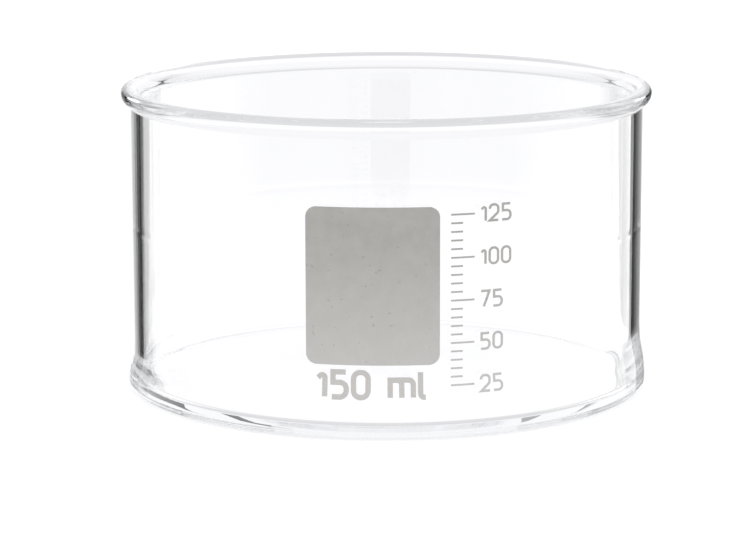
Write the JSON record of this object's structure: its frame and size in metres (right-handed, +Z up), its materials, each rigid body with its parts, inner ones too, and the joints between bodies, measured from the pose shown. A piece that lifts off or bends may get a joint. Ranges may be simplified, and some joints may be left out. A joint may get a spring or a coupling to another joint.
{
  "type": "evaporating dish",
  "caption": "Low flat-bottomed laboratory glass dish with a flared melted rim, a rounded heel and grey fired-on enamel markings on one side.",
  "frame": {"origin": "centre of the foot ring, on the plane the dish rests on", "axes": "+Z up out of the mouth along the axis of revolution, -Y towards the printed side, +X to the right of the print as it is read"},
  "size_m": [0.0788, 0.0788, 0.045],
  "materials": {
    "glass": "clear polished borosilicate glass",
    "enamel": "matt grey vitreous enamel fired into the glass surface"
  },
  "bodies": {
    "root": {"glass_dish": "glass", "marking_patch": "enamel", "capacity_mark": "enamel", "scale_ticks": "enamel", "scale_numerals": "enamel"}
  },
  "joints": []
}
